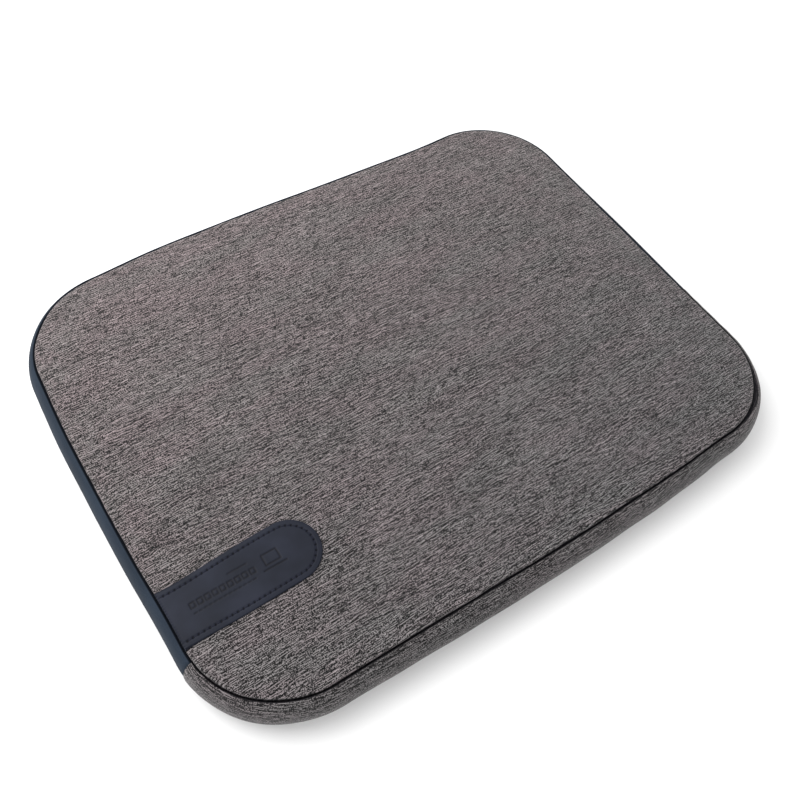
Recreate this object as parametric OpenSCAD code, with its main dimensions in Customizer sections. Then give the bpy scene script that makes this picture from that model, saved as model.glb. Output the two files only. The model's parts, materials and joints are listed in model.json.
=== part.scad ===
// Padded laptop sleeve that lies flat on its back cover.
// X runs along the long sides, Y from the spine (-Y) to the opening (+Y), Z up.
// The origin is on the resting face, under the middle of the seam outline.
// Seam sections are drawn as [distance outwards from the seam line, height].

/* [Size] */
// Length between the seam lines of the two short sides
seam_length = 360; // [340:1:400]
// Depth between the seam lines of the two long sides
seam_depth = 280; // [260:1:300]
// Radius of the seam line at each corner
corner_r = 52; // [44:1:60]
// Overall thickness, from the back cover to the front cover
thickness = 28; // [26:0.5:34]
// Height of each rolled cover edge, from the flat face to its seam
roll_height = 2.5; // [2:0.1:3]
// Width of each rolled cover edge
roll_width = 6; // [5:0.5:8]

/* [Layers] */
// Thickness of the woven cover fabric
fabric_t = 0.8; // [0.6:0.1:1]
// Thickness of the foam in both covers
foam_t = 4.9; // [3:0.1:5.5]
// Thickness of the lining
lining_t = 0.7; // [0.5:0.1:1]
// Thickness of the foam in the spine
spine_foam_t = 2.8; // [2:0.1:3]

/* [Side walls] */
// How far the padded spine bulges beyond the seam line
spine_bulge = 7.5; // [7:0.1:8.5]
// How far the zip band bulges beyond the seam line
band_bulge = 5.5; // [5:0.1:6]
// Angle round the left spine corner, from the short side, at which the zip starts
zip_start_angle = 8; // [4:1:12]
// Where the front cover folds and the zip ends on the right short side
fold_y = -47; // [-52:1:-40]

/* [Zip] */
// Thickness of the zip tape
tape_t = 0.8; // [0.6:0.1:1]
// Height of the slit between the two coils, which the slider's bridge runs in
coil_slit = 1.6; // [1.5:0.1:2]
// Height of one coil
coil_h = 1.8; // [1.6:0.1:2]
// Depth of one coil, inwards from the tape
coil_d = 1.7; // [1.5:0.1:1.8]
// Length of a slider
slider_length = 15; // [13:0.5:17]
// Width of a slider's plates
slider_width = 9.6; // [9:0.1:10.4]
// Where the two closed sliders meet on the right short side, from the middle
sliders_meet_y = 20; // [10:1:30]
// Length of a pull, from its pin to its tip
pull_length = 27; // [20:1:32]
// Width of a pull
pull_width = 6.4; // [6.4:0.1:8]

/* [Label patch] */
// Length of the patch that lies on the flat of the cover
patch_length = 76; // [60:1:90]
// Width of the patch
patch_width = 34.5; // [28:0.5:36]
// Distance of the patch's middle line from the middle of the sleeve
patch_y = -72.3; // [-74:0.1:-68]
// Thickness of the patch
patch_t = 1; // [0.8:0.1:1.4]
// Distance of the stitches from the patch's edge
stitch_inset = 3; // [2.5:0.1:4]
// Spacing of the stitches
stitch_pitch = 2.9; // [2.5:0.1:3.5]

/* [Hidden] */
$fn = 64;
gap = 0.3;
sliver = 0.05;
layer_gap = 0.15;
half_x = seam_length / 2;
half_y = seam_depth / 2;
corner_x = half_x - corner_r;
corner_y = half_y - corner_r;
low_seam = roll_height;
top_seam = thickness - roll_height;
mid_z = thickness / 2;
half_wall = top_seam - mid_z;
seam_clear = 0.15;
roll_steps = 6;
arc_steps = 12;
foam_inset = roll_width - 0.5;
lining_inset = 2.8;
low_lining_z = fabric_t + foam_t + 0.1;
top_lining_z = thickness - low_lining_z;
binding_out = -0.9;
binding_in = -2.4;
binding_low = low_seam + 1.1;
binding_h = 4.8;
coil_out = band_bulge - tape_t - 0.3;
slit_low = mid_z - coil_slit / 2;
slit_top = mid_z + coil_slit / 2;
plate_t = 1.4;
plate_out = band_bulge + gap;
plate_in = coil_out - coil_d - gap;
bridge_h = coil_slit - 0.4;
bridge_length = 6;
arch_h = 2.6;
arch_t = 0.9;
arch_width = 2.4;
arch_length = 7;
pull_t = 1.2;
pin_d = plate_out + plate_t + gap + pull_t / 2;
loop_clear = 0.5;
loop_reach = 5;
slider_half = slider_length / 2;
patch_x = -half_x + roll_width;
stitch_w = 0.5;
stitch_l = 2;
stitch_h = 0.25;
beyond = 30;

// ---- Sections, as points [out from the seam line, height] ----

// Rolled edge of a front cover's skin, from its seam up to the flat face and back
function roll_edge(skin, rise) = [
    for (i = [0 : roll_steps])
        let (a = i * 90 / roll_steps)
        [-roll_width + (roll_width - skin) * cos(a), top_seam + seam_clear + (rise - skin) * sin(a)]
];
function reverse(points) = [for (i = [len(points) - 1 : -1 : 0]) points[i]];
rise = roll_height - seam_clear;
cover_skin = concat(
    [[-corner_r, thickness - fabric_t]],
    reverse(roll_edge(fabric_t, rise)),
    roll_edge(0, rise),
    [[-corner_r, thickness]]
);

// Points on a side wall that bulges by `bulge` and is `inset` inside that curve,
// from height `from_z` to `to_z` as they are on its outer face
function wall_r(bulge) = (half_wall * half_wall + bulge * bulge) / (2 * bulge);
function wall_line(bulge, inset, from_z, to_z) =
    let (r = wall_r(bulge), low = asin((from_z - mid_z) / r), high = asin((to_z - mid_z) / r))
    [
        for (i = [0 : arc_steps])
            let (a = low + (high - low) * i / arc_steps)
            [bulge - r + (r - inset) * cos(a), mid_z + (r - inset) * sin(a)]
    ];
function wall_skin(bulge, inset, skin, from_z, to_z) = concat(
    wall_line(bulge, inset, from_z, to_z),
    reverse(wall_line(bulge, inset + skin, from_z, to_z))
);

// ---- Routes: children() is a section, swept along part of the seam outline ----

// Straight stretch of one side; side 0 is +X, 1 is +Y, 2 is -X and 3 is -Y
module side_run(side, from, to) {
    rotate([0, 0, side * 90])
    translate([side % 2 == 0 ? half_x : half_y, to, 0])
    rotate([90, 0, 0])
    linear_extrude(to - from) children();
}

// Corner between side `side` and the next one
module corner_run(side, start = 0, sweep = 90) {
    sx = (side == 0 || side == 3) ? 1 : -1;
    sy = (side < 2) ? 1 : -1;
    translate([sx * corner_x, sy * corner_y, 0])
    rotate_extrude(angle = sweep, start = side * 90 + start)
    translate([corner_r, 0]) children();
}

// The whole outline
module full_route() {
    for (side = [0 : 3]) {
        corner_run(side) children();
        side_run(side, -straight_half(side), straight_half(side)) children();
    }
}
function straight_half(side) = side % 2 == 0 ? corner_y : corner_x;

// The three open sides, from the left zip end round to the right one
module zip_route() {
    corner_run(2, 0, zip_start_angle) children();
    side_run(2, -corner_y, corner_y) children();
    corner_run(1) children();
    side_run(1, -corner_x, corner_x) children();
    corner_run(0) children();
    side_run(0, fold_y, corner_y) children();
}

// The part of the zip that opens with the flap
module flap_route() {
    side_run(2, -corner_y, -fold_y - gap / 2) children();
    corner_run(1) children();
    side_run(1, -corner_x, corner_x) children();
    corner_run(0) children();
    side_run(0, fold_y + gap / 2, corner_y) children();
}

// The short part of the zip beside the patch, which stays with the pocket
module pocket_zip_route() {
    corner_run(2, 0, zip_start_angle) children();
    side_run(2, -fold_y + gap / 2, corner_y) children();
}

// The hinge side with both of its corners
module spine_route() {
    corner_run(2, zip_start_angle, 90 - zip_start_angle) children();
    side_run(3, -corner_x, corner_x) children();
    corner_run(3) children();
    side_run(0, -corner_y, fold_y - gap) children();
}

// ---- Panels: a section that reaches in to the corner's axis, with its middle filled ----

module panel(section) {
    low_z = section[0][1];
    high_z = section[len(section) - 1][1];
    full_route() polygon(section);
    translate([-corner_x, -corner_y, low_z]) cube([2 * corner_x, 2 * corner_y, high_z - low_z]);
}
function slab_section(inset, low_z, high_z) =
    [[-corner_r, low_z], [-inset, low_z], [-inset, high_z], [-corner_r, high_z]];

// Keeps what is on the pocket's side, or on the flap's side, of the fold
module pocket_side() {
    intersection() {
        children();
        translate([-half_x - beyond, -half_y - beyond, -beyond])
        cube([seam_length + 2 * beyond, half_y + beyond + fold_y - gap / 2, thickness + 2 * beyond]);
    }
}
module flap_side() {
    intersection() {
        children();
        translate([-half_x - beyond, fold_y + gap / 2, -beyond])
        cube([seam_length + 2 * beyond, half_y + beyond - fold_y, thickness + 2 * beyond]);
    }
}
module flip_over() {
    translate([0, 0, thickness]) mirror([0, 0, 1]) children();
}

module front_cover() { panel(cover_skin); }
module front_foam() { panel(slab_section(foam_inset, thickness - fabric_t - foam_t, thickness - fabric_t - sliver)); }
module front_lining() { panel(slab_section(lining_inset, top_lining_z - lining_t, top_lining_z)); }
module binding_section() { translate([binding_in, binding_low]) square([binding_out - binding_in, binding_h]); }
module binding_top_section() { translate([0, thickness]) mirror([0, 1]) binding_section(); }

// ---- Back cover and spine ----

module back_cover() { color("#6d6767") flip_over() front_cover(); }
module back_foam() { color("#3a3a3c") flip_over() front_foam(); }
module back_lining() { color("#2a2b2f") flip_over() front_lining(); }
module back_seam_binding() { color("#202226") full_route() binding_section(); }

module spine_gusset() {
    color("#5f5b5a") spine_route()
    polygon(wall_skin(spine_bulge, 0, fabric_t, low_seam, top_seam));
}
module spine_foam() {
    color("#3a3a3c") spine_route()
    polygon(wall_skin(spine_bulge, fabric_t + layer_gap, spine_foam_t, mid_z - 9, mid_z + 9));
}
module spine_lining() {
    color("#2a2b2f") spine_route()
    polygon(wall_skin(spine_bulge, fabric_t + spine_foam_t + 2 * layer_gap, lining_t, mid_z - 9.6, mid_z + 9.6));
}

// ---- Zip ----

module lower_tape_section() { polygon(wall_skin(band_bulge, 0, tape_t, low_seam, slit_low)); }
module upper_tape_section() { polygon(wall_skin(band_bulge, 0, tape_t, slit_top, top_seam)); }
module lower_coil_section() { translate([coil_out - coil_d, slit_low - coil_h]) square([coil_d, coil_h]); }
module upper_coil_section() { translate([coil_out - coil_d, slit_top]) square([coil_d, coil_h]); }

module lower_zip_tape() { color("#323d49") zip_route() lower_tape_section(); }
module lower_zip_coil() { color("#2b3440") zip_route() lower_coil_section(); }
module pocket_zip_tape() { color("#323d49") pocket_zip_route() upper_tape_section(); }
module pocket_zip_coil() { color("#2b3440") pocket_zip_route() upper_coil_section(); }
module upper_zip_tape() { color("#323d49") flap_route() upper_tape_section(); }
module upper_zip_coil() { color("#2b3440") flap_route() upper_coil_section(); }

// Tape that binds the raw ends of spine and zip, upright inside each end of the zip
end_tab_h = 2 * (mid_z - binding_low - binding_h - 0.4);
end_tab_w = 8;
module end_tab_section() { translate([-0.6, mid_z - end_tab_h / 2]) square([0.9, end_tab_h]); }
module end_binding_left() {
    color("#202226") side_run(2, corner_y - end_tab_w, corner_y) end_tab_section();
}
module end_binding_right() {
    color("#202226") side_run(0, fold_y - gap - end_tab_w, fold_y - gap) end_tab_section();
}

// ---- Fixed part of the front cover, a pocket next to the spine ----

module pocket_cover() { color("#6d6767") pocket_side() front_cover(); }
module pocket_foam() { color("#3a3a3c") pocket_side() front_foam(); }
module pocket_lining() { color("#2a2b2f") pocket_side() front_lining(); }
module pocket_seam_binding() { color("#202226") pocket_side() full_route() binding_top_section(); }

// Patch: a tongue with a round end, which starts in the side seam and lies on the cover
patch_tip_x = patch_x + patch_length - patch_width / 2;
patch_skin = concat(
    [for (p = reverse(roll_edge(0, rise))) [p[0], p[1] + sliver]],
    [for (p = roll_edge(0, rise)) [p[0] + patch_t * (p[0] + roll_width) / roll_width, p[1] + patch_t]]
);
module label_patch() {
    color("#34353f") {
        translate([patch_x, patch_y - patch_width / 2, thickness + sliver])
        cube([patch_tip_x - patch_x, patch_width, patch_t - sliver]);
        translate([patch_tip_x, patch_y, thickness + sliver])
        cylinder(h = patch_t - sliver, d = patch_width);
        side_run(2, -patch_y - patch_width / 2, -patch_y + patch_width / 2) polygon(patch_skin);
    }
}

module stitch() {
    translate([-stitch_l / 2, -stitch_w / 2, thickness + patch_t])
    cube([stitch_l, stitch_w, stitch_h]);
}
stitch_r = patch_width / 2 - stitch_inset;
row_stitches = floor((patch_tip_x - patch_x) / stitch_pitch);
end_stitches = round(PI * stitch_r / stitch_pitch);
module patch_stitching() {
    color("#16181d") {
        for (edge = [-1, 1], i = [0 : row_stitches - 1])
            translate([patch_tip_x - (i + 0.5) * stitch_pitch, patch_y + edge * stitch_r, 0]) stitch();
        for (i = [0 : end_stitches - 1])
            translate([patch_tip_x, patch_y, 0])
            rotate([0, 0, -90 + (i + 0.5) * 180 / end_stitches])
            translate([stitch_r, 0, 0]) rotate([0, 0, 90]) stitch();
    }
}

// ---- Opening part of the front cover ----

module flap_cover() { color("#6d6767") flap_side() front_cover(); }
module flap_foam() { color("#3a3a3c") flap_side() front_foam(); }
module flap_lining() { color("#2a2b2f") flap_side() front_lining(); }
module flap_seam_binding() { color("#202226") flap_side() full_route() binding_top_section(); }

// ---- Sliders and pulls; each is drawn with its head at y = 0 and its tail towards +Y ----

// A slider's outer and inner plate, the bridge between them and the arch that holds the pull
module slider() {
    color("#4b4e55")
    translate([half_x, 0, mid_z]) {
        for (d = [plate_out, plate_in - plate_t])
            translate([d, 0, -slider_width / 2]) cube([plate_t, slider_length, slider_width]);
        translate([plate_in, 0, -bridge_h / 2])
        cube([plate_out - plate_in, bridge_length, bridge_h]);
        translate([plate_out + plate_t, slider_half - arch_length / 2, -arch_width / 2])
        difference() {
            cube([arch_h, arch_length, arch_width]);
            translate([0, arch_t, 0]) cube([arch_h - arch_t, arch_length - 2 * arch_t, arch_width]);
        }
    }
}

// A pull: a round pin through the arch, two arms beside the arch and a flat tab
module pull() {
    arm_gap = arch_width + 2 * loop_clear;
    color("#565a61")
    translate([half_x + pin_d, slider_half, mid_z]) {
        translate([0, 0, -pull_width / 2]) cylinder(h = pull_width, d = pull_t);
        for (edge = [-1, 1])
            translate([-pull_t / 2, 0, edge * (pull_width + arm_gap) / 4 - (pull_width - arm_gap) / 4])
            cube([pull_t, loop_reach, (pull_width - arm_gap) / 2]);
        translate([-pull_t / 2, loop_reach, -pull_width / 2])
        cube([pull_t, pull_length - loop_reach - pull_width / 2, pull_width]);
        translate([-pull_t / 2, pull_length - pull_width / 2, 0])
        rotate([0, 90, 0]) cylinder(h = pull_t, d = pull_width);
    }
}
head_gap = 1;
module at_far_slider() { translate([0, sliders_meet_y + head_gap / 2, 0]) children(); }
module at_near_slider() { translate([0, sliders_meet_y - head_gap / 2, 0]) mirror([0, 1, 0]) children(); }
module slider_far() { at_far_slider() slider(); }
module slider_near() { at_near_slider() slider(); }
module pull_far() { at_far_slider() pull(); }
module pull_near() { at_near_slider() pull(); }

back_cover();
back_foam();
back_lining();
back_seam_binding();
spine_gusset();
spine_foam();
spine_lining();
lower_zip_tape();
lower_zip_coil();
end_binding_left();
end_binding_right();
pocket_cover();
pocket_foam();
pocket_lining();
pocket_seam_binding();
pocket_zip_tape();
pocket_zip_coil();
label_patch();
patch_stitching();
flap_cover();
flap_foam();
flap_lining();
flap_seam_binding();
upper_zip_tape();
upper_zip_coil();
slider_far();
slider_near();
pull_far();
pull_near();
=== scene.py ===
"""Looks of a padded, zip-round laptop sleeve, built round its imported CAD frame.

Lengths in this script are millimetres; make_mesh turns them into Blender's metres.
s is the distance along the seam outline, counter-clockwise from the right side's spine end.
A section is given by d, the distance outwards from the seam outline, and z, the height.
"""

import json
import math

import bmesh
import bpy
import numpy as np
from mathutils import Matrix, Vector

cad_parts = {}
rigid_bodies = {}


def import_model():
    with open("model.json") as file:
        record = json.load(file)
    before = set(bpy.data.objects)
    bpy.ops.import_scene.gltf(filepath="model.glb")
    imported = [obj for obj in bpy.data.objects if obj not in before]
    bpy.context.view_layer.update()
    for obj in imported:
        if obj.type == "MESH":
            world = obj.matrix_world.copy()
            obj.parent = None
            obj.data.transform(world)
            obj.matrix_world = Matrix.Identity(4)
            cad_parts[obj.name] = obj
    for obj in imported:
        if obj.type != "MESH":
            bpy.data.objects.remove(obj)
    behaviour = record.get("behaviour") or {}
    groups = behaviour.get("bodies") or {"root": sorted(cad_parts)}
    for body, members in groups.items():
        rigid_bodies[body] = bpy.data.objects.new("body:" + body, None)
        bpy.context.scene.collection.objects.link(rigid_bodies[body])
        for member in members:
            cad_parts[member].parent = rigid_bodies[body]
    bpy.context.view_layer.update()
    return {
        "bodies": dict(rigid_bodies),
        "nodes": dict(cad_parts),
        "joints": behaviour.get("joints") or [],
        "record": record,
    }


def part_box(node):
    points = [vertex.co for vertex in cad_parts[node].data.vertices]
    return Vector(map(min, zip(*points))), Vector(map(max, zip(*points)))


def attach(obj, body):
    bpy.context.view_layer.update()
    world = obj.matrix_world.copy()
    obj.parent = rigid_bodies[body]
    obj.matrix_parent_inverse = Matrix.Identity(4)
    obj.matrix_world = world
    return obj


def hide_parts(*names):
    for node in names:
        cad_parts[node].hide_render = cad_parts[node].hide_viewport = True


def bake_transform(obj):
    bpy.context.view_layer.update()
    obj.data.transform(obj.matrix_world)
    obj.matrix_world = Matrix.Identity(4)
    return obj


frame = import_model()
MM = 0.001


def box_mm(node):
    """A CAD node's lowest and highest corner, in millimetres."""
    low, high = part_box(node)
    return np.array(low) / MM, np.array(high) / MM


# ---- Sizes taken from the frame ----

HALF_X, HALF_Y = box_mm("back_cover")[1][:2]
LOW_SEAM, TOP_SEAM = (corner[2] for corner in box_mm("spine_gusset"))
MID_Z = (LOW_SEAM + TOP_SEAM) / 2
TOP = box_mm("pocket_cover")[1][2]
fold = next(j for j in frame["joints"] if j["name"] == "cover_fold")
FOLD_Y = fold["pos_m"][1] / MM
LINING_LOW, LINING_TOP = (corner[2] for corner in box_mm("pocket_lining"))
BAND_BULGE = box_mm("lower_zip_tape")[1][0] - HALF_X
SLIT_TOP = box_mm("upper_zip_tape")[0][2]
ZIP_LEFT_Y = box_mm("lower_zip_tape")[0][1] + 0.8
SPINE_INNER_D = box_mm("spine_lining")[1][0] - HALF_X
patch_low, patch_high = box_mm("label_patch")
PATCH_Y = (patch_low[1] + patch_high[1]) / 2
PATCH_HALF = (patch_high[1] - patch_low[1]) / 2

# ---- Sizes of the soft shapes ----

CORNER_R = 52.0
# How far the sewn outline leaves a plain rounded rectangle, at equal steps round it. These come from a
# least-squares fit to the photographed outline, rounded to 0.1; those by the sliders were then set one by
# one.
SEAM_DRIFT = (
    0.1, -0.3, -0.4, -0.3, -0.4, -0.4, -1.7, -3.3, -2.5, -1.5, -0.1, 0.5, 0.3, -2.3, -2.4,
    -0.5, 1.3, 1.5, 1.3, 0.0, -0.1, -1.1, -0.9, -0.2, 0.6, 1.4, 1.1, 0.4, -1.4, 0.1,
)
# The covers' crisp rolled edge, and the groove where they are sewn to the side walls
ROLL_WIDTH = 1.5
ROLL_RISE = 1.1
CROWN_WIDTH = 15.0
GROOVE = 1.3
GROOVE_DEEP = 2.0
WALL_POWER = 1.25
# The most that padding presses the cloth out
COVER_SWELL = 0.7
SPINE_SWELL = 0.5


# ---- Seam outline ----


def soft_curve(values, places):
    """A smooth closed curve through equally spaced values, read at places from 0 to 1."""
    values = np.asarray(values, float)
    count = len(values)
    at = np.mod(places, 1) * count
    k = np.floor(at).astype(int) % count
    t = at - np.floor(at)
    before, here, after, later = (values[(k + step) % count] for step in (-1, 0, 1, 2))
    return 0.5 * (
        2 * here
        + (after - before) * t
        + (2 * before - 5 * here + 4 * after - later) * t**2
        + (3 * here - before - 3 * after + later) * t**3
    )


def outline_polyline():
    """The closed seam outline as dense points, counter-clockwise from the right side's spine end."""
    corner_x, corner_y = HALF_X - CORNER_R, HALF_Y - CORNER_R
    points, normals = [], []
    step = 0.25
    for side in range(4):
        angle = side * math.pi / 2
        normal = np.array([math.cos(angle), math.sin(angle)])
        tangent = np.array([-normal[1], normal[0]])
        half, out = (corner_y, HALF_X) if side % 2 == 0 else (corner_x, HALF_Y)
        run = np.linspace(-half, half, int(2 * half / step), endpoint=False)
        points.append(out * normal + np.outer(run, tangent))
        normals.append(np.tile(normal, (len(run), 1)))
        centre = (out - CORNER_R) * normal + half * tangent
        turn = angle + np.linspace(0, math.pi / 2, int(CORNER_R * math.pi / 2 / step), endpoint=False)
        normals.append(np.stack([np.cos(turn), np.sin(turn)], 1))
        points.append(centre + CORNER_R * normals[-1])
    points, normals = np.concatenate(points), np.concatenate(normals)
    places = np.arange(len(points)) / len(points)
    return points + normals * soft_curve(SEAM_DRIFT, places)[:, None]


OUTLINE = outline_polyline()
_steps = np.linalg.norm(np.roll(OUTLINE, -1, 0) - OUTLINE, axis=1)
OUTLINE_S = np.concatenate([[0], np.cumsum(_steps)])
PERIMETER = OUTLINE_S[-1]


def seam_at(s):
    """Points of the seam outline and its outward normals at distances s."""
    s = np.mod(np.asarray(s, float), PERIMETER)
    closed = np.concatenate([OUTLINE, OUTLINE[:1]])
    point = np.stack([np.interp(s, OUTLINE_S, closed[:, k]) for k in (0, 1)], 1)
    reach = 0.8
    ahead, behind = np.mod(s + reach, PERIMETER), np.mod(s - reach, PERIMETER)
    tangent = [np.interp(ahead, OUTLINE_S, line) - np.interp(behind, OUTLINE_S, line) for line in closed.T]
    tangent = np.stack(tangent, 1)
    tangent /= np.linalg.norm(tangent, axis=1)[:, None]
    return point, np.stack([tangent[:, 1], -tangent[:, 0]], 1)


def s_where(x_sign, y):
    """The distance along the outline of the point at height y on its right (+1) or left (-1) side."""
    on_side = np.where(OUTLINE[:, 0] * x_sign > HALF_X - CORNER_R)[0]
    return OUTLINE_S[on_side[np.argmin(np.abs(OUTLINE[on_side, 1] - y))]]


S_ZIP_RIGHT = s_where(1, FOLD_Y)
S_ZIP_LEFT = s_where(-1, ZIP_LEFT_Y)
SPINE_START, SPINE_END = S_ZIP_LEFT, S_ZIP_RIGHT + PERIMETER


def nearest(points, others):
    """Distance from each point to the nearest of the others."""
    return np.sqrt(((points[:, None] - others[None]) ** 2).sum(2).min(1))


def inside(xy):
    """How far points are inside the seam outline."""
    coarse = OUTLINE[::6]
    chunk = 4000
    parts = [nearest(xy[first : first + chunk], coarse) for first in range(0, len(xy), chunk)]
    return np.concatenate(parts)


# ---- Small maths ----


def smooth(t):
    t = np.clip(t, 0, 1)
    return t * t * (3 - 2 * t)


def ripple(x, y, size, seed):
    """Gentle random waves about `size` long, between about -1 and 1."""
    rng = np.random.default_rng(seed)
    total = np.zeros(np.broadcast(x, y).shape)
    for _ in range(9):
        angle = rng.uniform(0, math.tau)
        wave = size * rng.uniform(0.7, 1.6)
        along = x * math.cos(angle) + y * math.sin(angle)
        total += np.sin(along * math.tau / wave + rng.uniform(0, math.tau))
    return total / 4.5


def seam_ripple(s, waves, seed):
    """Random waves along the closed outline, between about -1 and 1; waves is about how many."""
    rng = np.random.default_rng(seed)
    total = np.zeros(np.shape(s))
    for _ in range(8):
        count = int(waves * rng.uniform(0.5, 1.6))
        total += np.sin(np.asarray(s) * math.tau * count / PERIMETER + rng.uniform(0, math.tau))
    return total / 4


# ---- Meshes ----


def make_mesh(name, verts, faces, weave=None, painted_shade=None, flat=False):
    """An object from millimetre points. weave is the cloth's own coordinates in millimetres."""
    mesh = bpy.data.meshes.new(name)
    mesh.from_pydata((np.asarray(verts, float) * MM).tolist(), [], [tuple(int(i) for i in f) for f in faces])
    mesh.validate()
    if weave is not None:
        layer = mesh.attributes.new("weave", "FLOAT_VECTOR", "POINT")
        layer.data.foreach_set("vector", np.asarray(weave, np.float32).ravel())
    # A share from 0 to 1 of painted shade, by which the materials darken the colour
    if painted_shade is not None:
        layer = mesh.attributes.new("painted_shade", "FLOAT", "POINT")
        layer.data.foreach_set("value", np.asarray(painted_shade, np.float32))
    mesh.polygons.foreach_set("use_smooth", [not flat] * len(mesh.polygons))
    mesh.update()
    piece = bpy.data.objects.new(name, mesh)
    bpy.context.scene.collection.objects.link(piece)
    return piece


def grid_faces(rows, cols, wrap_rows=False, wrap_cols=False, start=0):
    """Quads of a grid of points stored row by row."""
    r = np.arange(rows if wrap_rows else rows - 1)
    c = np.arange(cols if wrap_cols else cols - 1)
    a, b = np.meshgrid(r, c, indexing="ij")
    a2, b2 = (a + 1) % rows, (b + 1) % cols
    return np.stack([a * cols + b, a * cols + b2, a2 * cols + b2, a2 * cols + b], -1).reshape(-1, 4) + start


def row_tube_faces(rows, cols):
    """Faces of a tube whose points are stored line by line along it, with a cap at each end."""
    faces = grid_faces(rows, cols, wrap_rows=True).tolist()
    faces.append([k * cols for k in range(rows)])
    faces.append([k * cols + cols - 1 for k in range(rows)][::-1])
    return faces


def ring_tube_faces(rings, count, start):
    """Faces of a tube whose points are stored ring by ring from start on, with a cap at each end."""
    faces = grid_faces(rings, count, wrap_cols=True, start=start).tolist()
    last = start + (rings - 1) * count
    faces.append(list(range(start, start + count))[::-1])
    faces.append(list(range(last, last + count)))
    return faces


def swept(name, s, d, z, wave_v=None, closed_route=False, painted_shade=None):
    """A closed section swept along the outline; d and z hold a row of places for each of its points."""
    point, normal = seam_at(s)
    rows, cols = d.shape
    xy = point[None] + normal[None] * d[..., None]
    verts = np.concatenate([xy, z[..., None]], 2).reshape(-1, 3)
    faces = grid_faces(rows, cols, True, True) if closed_route else row_tube_faces(rows, cols)
    if wave_v is None:
        length = np.hypot(np.diff(d, axis=0), np.diff(z, axis=0))
        wave_v = np.concatenate([np.zeros((1, cols)), np.cumsum(length, 0)])
    weave = np.stack([np.broadcast_to(s, d.shape), wave_v, np.zeros(d.shape)], 2).reshape(-1, 3)
    return make_mesh(name, verts, faces, weave, painted_shade)


def fold_share():
    """Share of the way from the spine's corners to the far corners at which the cover folds."""
    fold = (s_where(1, FOLD_Y) + PERIMETER - S_CORNERS[3]) % PERIMETER
    return fold / (S_CORNERS[0] + PERIMETER - S_CORNERS[3])


def row_shares(ny):
    """Shares of that way for the rows of a cover's grid, closer together at the fold."""
    fine = np.linspace(0, 1, 2001)
    density = 1 + 2.4 * np.exp(-(((fine - fold_share() - 0.012) / 0.04) ** 2))
    total = np.cumsum(density) - density[0]
    return np.interp(np.linspace(0, total[-1], ny + 1), total, fine)


def coons(loop, nx, ny):
    """Points of a grid inside a closed loop of 2 * (nx + ny) points that starts at a grid corner."""
    low = loop[: nx + 1]
    right = loop[nx : nx + ny + 1]
    top = loop[nx + ny : 2 * nx + ny + 1][::-1]
    left = np.concatenate([loop[2 * nx + ny :], loop[:1]])[::-1]
    u = np.linspace(0, 1, nx + 1)[None, :, None]
    v = row_shares(ny)[:, None, None]
    edges = (1 - v) * low[None] + v * top[None] + (1 - u) * left[:, None] + u * right[:, None]
    corners = (1 - u) * (1 - v) * low[0] + u * (1 - v) * low[-1] + (1 - u) * v * top[0] + u * v * top[-1]
    return edges - corners


def loop_index(nx, ny):
    """For each point of a Coons grid, its place in the loop, or -1 inside it."""
    index = -np.ones((ny + 1, nx + 1), int)
    index[0, :] = np.arange(nx + 1)
    index[:, nx] = nx + np.arange(ny + 1)
    index[ny, ::-1] = nx + ny + np.arange(nx + 1)
    index[:, 0][::-1] = (2 * nx + ny + np.arange(ny + 1)) % (2 * (nx + ny))
    return index


def filled(loop, nx, ny, first_vert, loop_first, flip=False):
    """The points inside a loop and the quads that fill it; the loop's points are stored from loop_first."""
    grid = coons(loop, nx, ny)
    index = loop_index(nx, ny)
    inner = index < 0
    ids = np.where(inner, 0, index + loop_first)
    ids[inner] = first_vert + np.arange(inner.sum())
    quads = np.stack([ids[:-1, :-1], ids[:-1, 1:], ids[1:, 1:], ids[1:, :-1]], -1).reshape(-1, 4)
    return grid[inner], (quads[:, ::-1] if flip else quads)


GRID_X, GRID_Y = 124, 96


def loop_distances(nx=GRID_X, ny=GRID_Y):
    """Places along the outline whose corners are the middles of its four rounded corners."""
    middles = S_CORNERS[2:] + [s + PERIMETER for s in S_CORNERS[:3]]
    rows = row_shares(ny)
    shares = [np.linspace(0, 1, nx + 1), rows, np.linspace(0, 1, nx + 1), 1 - rows[::-1]]
    return np.concatenate([middles[k] + (middles[k + 1] - middles[k]) * shares[k][:-1] for k in range(4)])


def corner_middles():
    """s at the middle of each rounded corner, from the right far one on."""
    diagonal = [(1, 1), (-1, 1), (-1, -1), (1, -1)]
    return [OUTLINE_S[np.argmax(OUTLINE @ np.array(d, float))] for d in diagonal]


S_CORNERS = corner_middles()


def finer(grid):
    """A grid of values with twice as many steps both ways, on smooth curves through the given ones."""
    for axis in (0, 1):
        rows = np.moveaxis(grid, axis, 0)
        padded = np.concatenate([2 * rows[:1] - rows[1:2], rows, 2 * rows[-1:] - rows[-2:-1]])
        both = np.empty((2 * len(rows) - 1,) + rows.shape[1:])
        both[::2] = rows
        both[1::2] = (9 * (padded[1:-2] + padded[2:-1]) - padded[:-3] - padded[3:]) / 16
        grid = np.moveaxis(both, 0, axis)
    return grid


# ---- Cloth over its padding ----


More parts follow.
